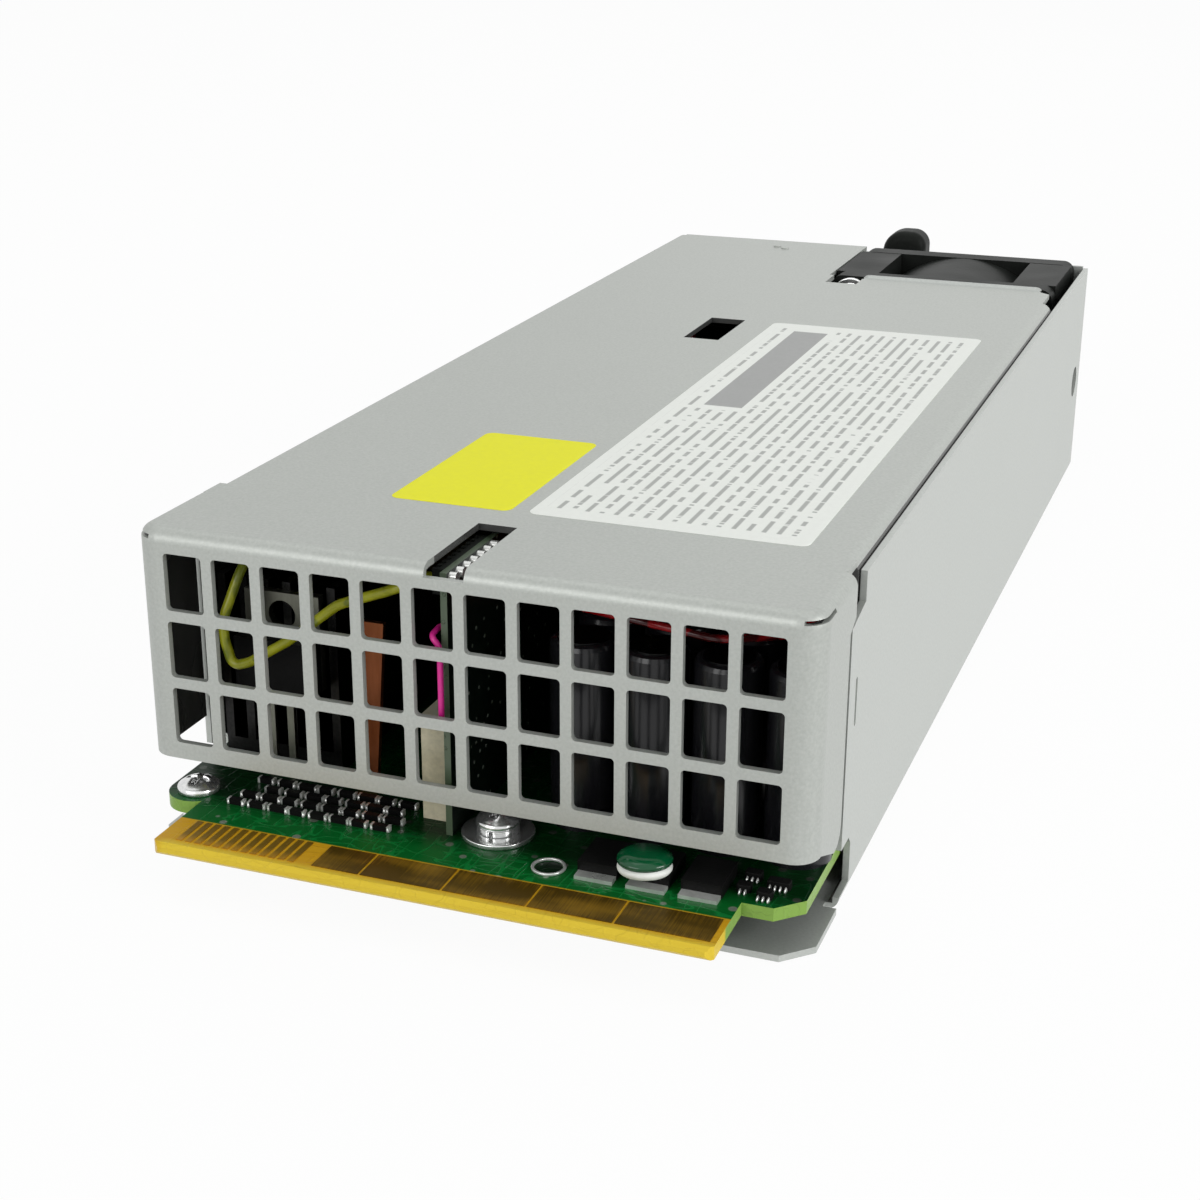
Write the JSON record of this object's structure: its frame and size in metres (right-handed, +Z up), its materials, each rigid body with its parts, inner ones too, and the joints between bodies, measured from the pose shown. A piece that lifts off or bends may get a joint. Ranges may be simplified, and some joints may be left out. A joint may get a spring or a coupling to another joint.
{
  "type": "server power supply",
  "caption": "Hot swap server power supply: a flat steel box with a pierced grille and board edge contacts at the front, and a fan, mains inlet, handle and release latch at the rear.",
  "frame": {"origin": "centre of the tray's underside at the plane of the front grille", "axes": "+Z up, connector end towards -Y, fan end towards +Y, +X to the right seen from the connector end"},
  "size_m": [0.0828, 0.2301, 0.0408],
  "materials": {
    "zinc_sheet": "satin zinc plated sheet steel",
    "fastener_steel": "bright plated screws, posts and pins",
    "black_plastic": "black moulded plastic, fine grain",
    "latch_plastic": "maroon moulded plastic",
    "lens_plastic": "translucent light guides",
    "green_board": "green solder mask on glass laminate",
    "gold_contact": "gold flashed copper contacts",
    "solder": "tin solder and tinned metal",
    "sink_metal": "extruded aluminium",
    "sleeve_plastic": "black shrink sleeve on cans",
    "core_ferrite": "dark ferrite",
    "winding_tape": "yellow polyester tape",
    "copper": "bare and enamelled copper",
    "cream_plastic": "cream moulded plastic",
    "white_adhesive": "white silicone adhesive",
    "green_glaze": "glossy green coated disc",
    "fuse_glass": "clear glass tube",
    "film_sheet": "thin insulating film",
    "earth_sleeve": "green and yellow wire sleeve",
    "magenta_sleeve": "magenta wire sleeve",
    "red_sleeve": "red wire sleeve",
    "black_sleeve": "dark wire sleeve"
  },
  "bodies": {
    "casing": {"base_tray": "zinc_sheet", "top_cover": "zinc_sheet", "rear_panel": "zinc_sheet", "fan_screws": "fastener_steel", "fan_nuts": "fastener_steel", "board_posts": "fastener_steel", "board_screws": "fastener_steel", "screw_washer": "fastener_steel", "latch_pin": "fastener_steel", "latch_spring": "fastener_steel", "plated_eyelet": "fastener_steel", "inlet_pins": "fastener_steel", "fan_frame": "black_plastic", "inlet_body": "black_plastic", "handle": "black_plastic", "fan_plug": "black_plastic", "card_header": "black_plastic", "output_transistors": "black_plastic", "transistor_mould": "black_plastic", "choke_core": "black_plastic", "transformer_base": "black_plastic", "bridge_rectifier": "black_plastic", "surface_parts": "black_plastic", "status_lenses": "lens_plastic", "main_board": "green_board", "daughter_card": "green_board", "edge_contacts": "gold_contact", "card_joints": "solder", "transistor_tabs": "solder", "surface_part_ends": "solder", "fuse_caps": "solder", "bridge_legs": "solder", "transistor_metal": "solder", "front_heat_sink": "sink_metal", "middle_heat_sink": "sink_metal", "capacitor_lids": "sink_metal", "output_capacitors": "sleeve_plastic", "bulk_capacitor": "sleeve_plastic", "transformer_core": "core_ferrite", "transformer_winding": "winding_tape", "film_capacitor": "winding_tape", "copper_strap": "copper", "choke_winding": "copper", "relay_block": "cream_plastic", "relay_flange": "cream_plastic", "adhesive_dab": "white_adhesive", "glazed_disc": "green_glaze", "fuse_tube": "fuse_glass", "floor_film": "film_sheet", "earth_wire": "earth_sleeve", "sense_wire": "magenta_sleeve", "red_wires": "red_sleeve", "fan_leads": "red_sleeve", "mains_leads": "black_sleeve"},
    "rotor": {"fan_rotor": "black_plastic"},
    "latch": {"release_latch": "latch_plastic"}
  },
  "joints": [
    {"name": "fan_spin", "type": "hinge", "parent": "casing", "child": "rotor", "pos_m": [0.01865, 0.18, 0.02055], "axis": [0, 1, 0], "continuous": true},
    {"name": "latch_press", "type": "hinge", "parent": "casing", "child": "latch", "pos_m": [-0.03745, 0.1772, 0.02], "axis": [0, 0, -1], "range_deg": [0, 5.5], "stiffness_Nm_per_rad": 0.05, "deforming": ["latch_spring"]}
  ]
}
